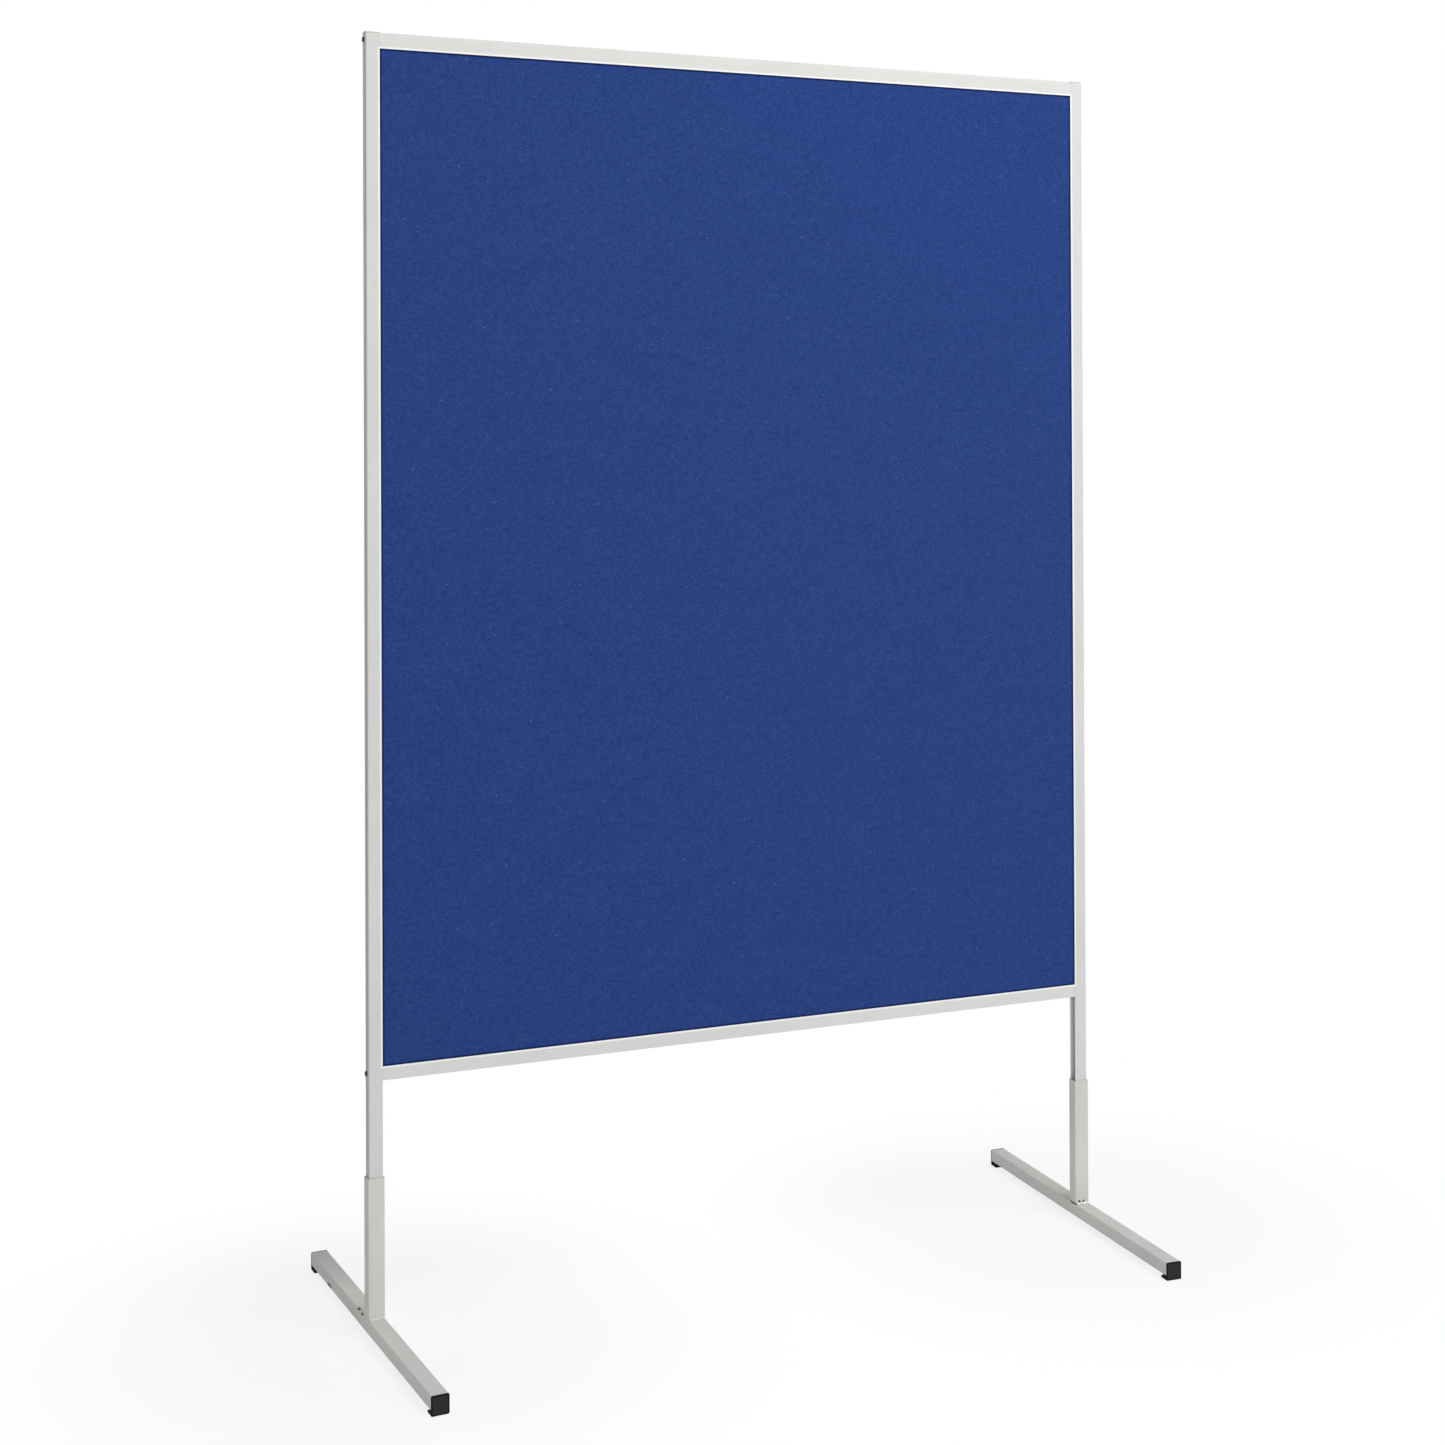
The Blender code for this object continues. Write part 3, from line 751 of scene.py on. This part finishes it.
def cut_cross(bm):
    """Close the crown round a tapered cross recess."""
    arm = CROSS_LENGTH / 2
    half = CROSS_WIDTH / 2
    quarter = [Vector(point) for point in ((arm, -half), (arm, half), (half, half))]
    cross = [Matrix.Rotation(math.radians(90) * turn, 2) @ point
             for turn in range(4) for point in quarter]
    crown_rim = [edge for edge in edges_at(bm, Z, HEAD_HEIGHT) if edge.is_boundary]
    corners = [bm.verts.new((x, y, HEAD_HEIGHT)) for x, y in cross]
    wire = [bm.edges.new(pair) for pair in zip(corners, corners[1:] + corners[:1])]
    crown = bmesh.ops.triangle_fill(bm, edges=wire + crown_rim, use_beauty=True)["geom"]
    # The crown's flat takes the second material, its painted highlight.
    for face in crown:
        if isinstance(face, bmesh.types.BMFace):
            face.material_index = 1
    floor = verts_of(bmesh.ops.extrude_edge_only(bm, edges=wire)["geom"])
    bmesh.ops.translate(bm, verts=floor, vec=(0, 0, -CROSS_DEPTH))
    bmesh.ops.scale(bm, verts=floor, vec=(CROSS_TAPER_SHARE, CROSS_TAPER_SHARE, 1))
    bmesh.ops.triangle_fill(bm, edges=edges_at(bm, Z, HEAD_HEIGHT - CROSS_DEPTH), use_beauty=True)


def make_screws(finish, crown_finish):
    """Pan-head screws with a cross recess, their shanks inside the rails' ports."""
    for side, sign in SIDES.items():
        for rail in ("top", "bottom"):
            node = f"{side}_{rail}_screw"
            low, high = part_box(node)
            bm = bmesh.new()
            outline = screw_profile(high.x - low.x - HEAD_HEIGHT)
            verts = [bm.verts.new((radius, 0, z)) for radius, z in outline]
            edges = [bm.edges.new(pair) for pair in zip(verts, verts[1:])]
            bmesh.ops.spin(bm, geom=verts + edges, axis=(0, 0, 1), cent=(0, 0, 0),
                           angle=math.tau, steps=SCREW_STEPS, use_merge=True)
            cut_cross(bm)
            seat = (low.x if sign < 0 else high.x) - sign * HEAD_HEIGHT
            middle = Matrix.Translation((seat, 0, (low.z + high.z) / 2))
            outward = Matrix.Rotation(math.radians(90) * sign, 4, "Y")
            bmesh.ops.transform(bm, matrix=middle @ outward, verts=bm.verts[:])
            finished(node, bm, finish, crown_finish)


def make_top_caps(finish):
    """Caps on the uprights: a plate with a softened upper edge and a hollow plug below it."""
    for side, sign in SIDES.items():
        node = f"{side}_top_cap"
        low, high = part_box(node)
        width = high.x - low.x
        half = high.y
        plate_outline = mirrored(((0, half, UPRIGHT_CORNER), (width, half, LIP_ROUND)))
        plate = extrusion((plate_outline,), TOP_CAP_PLATE)
        rounded(plate, rims_at(plate, Z, TOP_CAP_PLATE), TOP_CAP_ROUND)
        bmesh.ops.translate(plate, verts=plate.verts[:], vec=(0, 0, high.z - low.z - TOP_CAP_PLATE))
        wall = FRAME_WALL + GAP
        inner = wall + TOP_CAP_WALL
        floor = width - UPRIGHT_GROOVE
        sleeves = [mirrored(((cut, half - cut, CREASE_ROUND), (floor - cut, half - cut, CREASE_ROUND)))
                   for cut in (wall, inner)]
        plug = extrusion(sleeves, high.z - low.z - TOP_CAP_PLATE / 2)
        bm = joined(plate, plug)
        set_upright(bm, node, sign)
        finished(node, bm, finish)


def foot_place(side):
    """Where a foot stands, from the soles of its two ends."""
    front = SOLES[f"{side}_front_sole"]
    rear = SOLES[f"{side}_rear_sole"]
    forward = front - rear
    turn = math.atan2(forward.x, -forward.y)
    return Matrix.Translation((front + rear) / 2) @ Matrix.Rotation(turn, 4, "Z")


def tube(size, axis):
    """A rectangular tube round the origin, open along one axis, with softened mouths."""
    bm = block(-Vector(size) / 2, Vector(size) / 2)
    rounded(bm, edges_along(bm, axis), TUBE_CORNER, ROUND_STEPS)
    ends = [face_towards(bm, axis, sign) for sign in (-1, 1)]
    bmesh.ops.inset_individual(bm, faces=ends, thickness=TUBE_WALL, use_even_offset=True)
    inner = [edge for face in ends for edge in face.edges]
    bmesh.ops.delete(bm, geom=ends, context="FACES_ONLY")
    bmesh.ops.bridge_loops(bm, edges=inner)
    bmesh.ops.recalc_face_normals(bm, faces=bm.faces[:])
    for sign in (-1, 1):
        rounded(bm, rims_at(bm, axis, sign * size[axis] / 2), MOUTH_ROUND)
    return bm


def drawn_out(bm, face, way, growth):
    """Extrude a face a short way, scale it about the origin and return it.

    The operator keeps the face it starts from, so that is deleted where it would lie inside.
    """
    drawn = bmesh.ops.extrude_face_region(bm, geom=[face])["geom"]
    bmesh.ops.translate(bm, verts=verts_of(drawn), vec=way)
    bmesh.ops.scale(bm, verts=verts_of(drawn), vec=growth)
    if all(len(edge.link_faces) > 2 for edge in face.edges):
        bmesh.ops.delete(bm, geom=[face], context="FACES_ONLY")
    return next(item for item in drawn if isinstance(item, bmesh.types.BMFace))


def bead_size(run, ripples):
    """A bead's size as a share of its full one, where run goes from 0 to 1 along the bead."""
    ripple = math.cos(math.tau * ripples * run)
    swell = BEAD_SWELL_SHARE * math.sin(math.tau * BEAD_SWELLS * run)
    thickening = min(1, math.sin(math.pi * run) * BEAD_END_STEEPNESS)
    taper = BEAD_END_SHARE + (1 - BEAD_END_SHARE) * thickening
    return taper * (1 - BEAD_RIPPLE_SHARE * (1 - (ripple + swell)) / 2)


def weld_bead():
    """A rippled bead in the corner at the front of a stem, from its arc drawn along x."""
    length = TUBE_WIDTH - 2 * TUBE_CORNER
    ripples = round(length / BEAD_PITCH)
    stations = ripples * BEAD_STEPS_PER_RIPPLE
    sizes = [bead_size(station / stations, ripples) for station in range(stations + 1)]
    bm = bmesh.new()
    ring = [bm.verts.new((-length / 2, 0, 0))]
    for step in range(BEAD_ARC_STEPS + 1):
        angle = math.radians(90) * step / BEAD_ARC_STEPS
        reach = BEAD_LEG * (1 - (1 - BEAD_BULGE_SHARE) * math.sin(2 * angle))
        ring.append(bm.verts.new((-length / 2, -reach * math.cos(angle), reach * math.sin(angle))))
    section = bm.faces.new(ring)
    bmesh.ops.scale(bm, verts=ring, vec=(1, sizes[0], sizes[0]))
    for size, next_size in zip(sizes, sizes[1:]):
        growth = next_size / size
        section = drawn_out(bm, section, (length / stations, 0, 0), (1, growth, growth))
    return bm


def cap_plate():
    """The end cap's plate: rounded, with a raised rim round a recess."""
    width = TUBE_WIDTH + 2 * PLATE_MARGIN
    height = SOLE_LIFT + TUBE_THICKNESS
    bm = block((-width / 2, -PLATE_THICKNESS, PLATE_MARGIN),
               (width / 2, 0, PLATE_MARGIN + height))
    rounded(bm, edges_along(bm, Y), PLATE_CORNER, ROUND_STEPS)
    face = face_towards(bm, Y, -1)
    rounded(bm, face.edges[:], PLATE_EDGE)
    face = face_towards(bm, Y, -1)
    bmesh.ops.inset_region(bm, faces=[face], thickness=RIM_WIDTH - PLATE_EDGE, use_even_offset=True)
    bmesh.ops.inset_region(bm, faces=[face], thickness=RIM_SLOPE, depth=-RIM_DEPTH,
                           use_even_offset=True)
    face.material_index = 1
    return bm


def cap_sole():
    """The sole under the bar: a pad on the floor and a narrower neck up to the tube."""
    half = TUBE_WIDTH / 2
    pad = block((-half, -PLATE_THICKNESS / 2, 0), (half, SOLE_LENGTH, PAD_HEIGHT))
    bottom = [edge for edge in edges_along(pad, Y) if edge.verts[0].co.z < MERGE]
    rounded(pad, bottom, PAD_CORNER, ROUND_STEPS)
    rounded(pad, edges_at(pad, Y, SOLE_LENGTH), PLATE_EDGE)
    neck = block((NECK_INSET - half, -PLATE_THICKNESS / 2, PAD_HEIGHT - GAP),
                 (half - NECK_INSET, SOLE_LENGTH - NECK_INSET, SOLE_LIFT - GAP))
    return joined(pad, neck)


def cap_plug():
    """The hollow plug inside the tube, drawn out through its barbed ribs and back down its bore."""
    root = -PLATE_THICKNESS / 2
    half_width = TUBE_WIDTH / 2 - TUBE_WALL - GAP
    half_height = TUBE_THICKNESS / 2 - TUBE_WALL - GAP
    steps = [(RIB_HEIGHT, root)]
    for rib in range(RIB_COUNT, 0, -1):
        start = PLUG_LENGTH - RIB_PITCH * rib
        steps += [(RIB_HEIGHT, start), (0, start), (RIB_HEIGHT, start + RIB_LENGTH)]
    bore = RIB_HEIGHT + PLUG_WALL
    steps += [(RIB_HEIGHT, PLUG_LENGTH), (bore, PLUG_LENGTH), (bore, root + PLUG_WALL)]
    bm = bmesh.new()
    wide = half_width - RIB_HEIGHT
    high = half_height - RIB_HEIGHT
    corners = [bm.verts.new((x, 0, z))
               for x, z in ((-wide, -high), (wide, -high), (wide, high), (-wide, high))]
    bm.faces.new(corners)
    bmesh.ops.bevel(bm, geom=corners, offset=RIB_HEIGHT, segments=FINE_STEPS, profile=0.5,
                    affect="VERTICES", material=-1)
    bmesh.ops.translate(bm, verts=bm.verts[:], vec=(0, root, 0))
    face = next(iter(bm.faces))
    for (inset, depth), (next_inset, next_depth) in zip(steps, steps[1:]):
        growth = [(size - next_inset) / (size - inset) for size in (half_width, half_height)]
        face = drawn_out(bm, face, (0, next_depth - depth, 0), (growth[0], 1, growth[1]))
    bmesh.ops.translate(bm, verts=bm.verts[:], vec=(0, 0, SOLE_LIFT + TUBE_THICKNESS / 2))
    return bm


def make_foot(side, tube_finish, weld_finish, cap_finish, recess_finish):
    """One foot: stem, floor bar, two weld beads and two end caps."""
    place = foot_place(side)

    def placed(node, bm, *finishes):
        bmesh.ops.transform(bm, matrix=place, verts=bm.verts[:])
        finished(node, bm, *finishes)

    low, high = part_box(f"{side}_stem")
    stem = tube((TUBE_WIDTH, TUBE_THICKNESS, high.z - low.z), Z)
    bmesh.ops.translate(stem, verts=stem.verts[:], vec=(0, 0, (low.z + high.z) / 2))
    placed(f"{side}_stem", stem, tube_finish)

    plate_back = FOOT_LENGTH / 2 - PLATE_THICKNESS
    bar = tube((TUBE_WIDTH, 2 * (plate_back - GAP), TUBE_THICKNESS), Y)
    bmesh.ops.translate(bar, verts=bar.verts[:], vec=(0, 0, SOLE_LIFT + TUBE_THICKNESS / 2))
    placed(f"{side}_floor_bar", bar, tube_finish)

    for end, sign in ENDS.items():
        bead = weld_bead()
        corner = Matrix.Translation((0, -TUBE_THICKNESS / 2 - GAP, low.z))
        bmesh.ops.transform(bead, matrix=faced(sign) @ corner, verts=bead.verts[:])
        placed(f"{side}_{end}_weld", bead, weld_finish)
        cap = joined(cap_plate(), cap_sole(), cap_plug())
        bar_end = Matrix.Translation((0, -plate_back, 0))
        bmesh.ops.transform(cap, matrix=faced(sign) @ bar_end, verts=cap.verts[:])
        placed(f"{side}_{end}_end_cap", cap, cap_finish, recess_finish)


def make_floor():
    """A floor that is clear to the white studio and keeps the object's shadow near its feet.

    It is clear from below, so a foot that is pulled down off the board is seen and lit there.
    """
    finish = Finish("pale_floor")
    floor = finish.node("ShaderNodeBsdfDiffuse", {}, {"Color": colour(250, 250, 250)})
    clear = finish.node("ShaderNodeBsdfTransparent", {}, {"Color": WHITE})
    below = finish.node("ShaderNodeNewGeometry", output="Backfacing")
    away = 1.0
    for side in SIDES:
        values = {0: finish.place, 1: foot_place(side).translation}
        distance = finish.node("ShaderNodeVectorMath", {"operation": "DISTANCE"}, values, "Value")
        away = distance.rise(SHADOW_NEAR, SHADOW_FAR) * away
    unshaded = 1 - (1 - away) * FLOOR_SHADOW_SHARE
    share = (finish.white_rays() * unshaded).greatest(below)
    finish.show(finish.node("ShaderNodeMixShader", {}, {0: share, 1: floor, 2: clear}))
    bm = bmesh.new()
    bmesh.ops.create_grid(bm, x_segments=1, y_segments=1, size=FLOOR_SIZE / 2)
    mesh = bpy.data.meshes.new("floor")
    bm.to_mesh(mesh)
    bm.free()
    mesh.materials.append(finish.material)
    floor_piece = bpy.data.objects.new("floor", mesh)
    bpy.context.scene.collection.objects.link(floor_piece)


def make_world():
    """Even light all round, white behind the object."""
    world = bpy.data.worlds.new("studio")
    studio = Shading(world, "ShaderNodeOutputWorld")
    values = {"Color": WHITE, "Strength": AMBIENT_STRENGTH}
    ambient = studio.node("ShaderNodeBackground", {}, values)
    backdrop = studio.node("ShaderNodeBackground", {}, {"Color": WHITE})
    values = {0: studio.white_rays(), 1: ambient, 2: backdrop}
    studio.show(studio.node("ShaderNodeMixShader", {}, values))
    bpy.context.scene.world = world


def make_light(name, power, size, place):
    """A large soft lamp aimed at the board."""
    lamp = bpy.data.lights.new(name, "AREA")
    lamp.energy = power
    lamp.size = size
    light = bpy.data.objects.new(name, lamp)
    light.location = place
    light.rotation_euler = (Vector(LIGHT_AIM) - Vector(place)).to_track_quat("-Z", "Y").to_euler()
    bpy.context.scene.collection.objects.link(light)


def make_camera():
    """The photograph's view."""
    camera = bpy.data.cameras.new("photograph")
    camera.sensor_width = SENSOR_WIDTH_MM
    camera.lens = SENSOR_WIDTH_MM * FOCAL_PIXELS / PHOTO_PIXELS
    camera.shift_y = -(PHOTO_PIXELS / 2 - AXIS_ROW_PIXEL) / PHOTO_PIXELS
    camera.clip_end = CAMERA_SIGHT
    level = Vector((math.cos(CAMERA_YAW), -math.sin(CAMERA_YAW), 0))
    ahead = Vector((math.sin(CAMERA_YAW) * math.cos(CAMERA_PITCH),
                    math.cos(CAMERA_YAW) * math.cos(CAMERA_PITCH), math.sin(CAMERA_PITCH)))
    square = Matrix((level, level.cross(ahead), -ahead)).transposed().to_4x4()
    roll = Matrix.Rotation(CAMERA_ROLL, 4, "Z")
    view = bpy.data.objects.new("photograph", camera)
    view.matrix_world = Matrix.Translation(CAMERA_PLACE) @ square @ roll
    bpy.context.scene.collection.objects.link(view)
    bpy.context.scene.camera = view


def main():
    """Dress the frame, light it and look at it as the photograph does."""
    upright_finish = satin_frame("satin_frame_upright", DIE_LINES_UP,
                                 darker=colour(212, 213, 209), lighter=colour(221, 222, 219))
    rail_finish = satin_frame("satin_frame_rail", DIE_LINES_ACROSS,
                              darker=colour(215, 216, 212), lighter=colour(224, 225, 222))
    tube_finish = painted_tube("painted_tube")
    weld_finish = painted_weld("painted_weld_bead")
    # Lit and shaded copies of one black plastic: the recess face is painted lighter than the rim, a
    # painted reflection.
    cap_finish = black_plastic("black_plastic_rim", colour(9, 9, 9), colour(17, 17, 16),
                               roughness=0.42, gloss=0.08)
    recess_finish = black_plastic("black_plastic_face", colour(27, 27, 25), colour(40, 40, 38),
                                  roughness=0.5, gloss=0.2)
    make_uprights(upright_finish)
    make_rails(rail_finish)
    make_felts(blue_felt("needled_felt"))
    # Lit and shaded copies of one plated steel: the screw is painted dark as painted shade on its
    # head's rim and recess, and the crown's flat is painted light as a painted highlight.
    screw_painted_shade = plated_steel("screw_painted_shade", colour(34, 34, 33), colour(70, 70, 68))
    crown_painted_highlight = plated_steel("screw_crown_painted_highlight", colour(150, 150, 148), colour(206, 206, 204))
    make_screws(screw_painted_shade, crown_painted_highlight)
    make_top_caps(grey_plastic("grey_plastic_cap"))
    for side in SIDES:
        make_foot(side, tube_finish, weld_finish, cap_finish, recess_finish)
    core = frame["nodes"]["board_core"].data.materials
    core.clear()
    core.append(soft_fibreboard("soft_fibreboard"))
    make_floor()
    make_world()
    for name, (power, size, place) in LAMPS.items():
        make_light(name, power, size, place)
    make_camera()
    bpy.context.scene.view_settings.view_transform = "Standard"


main()
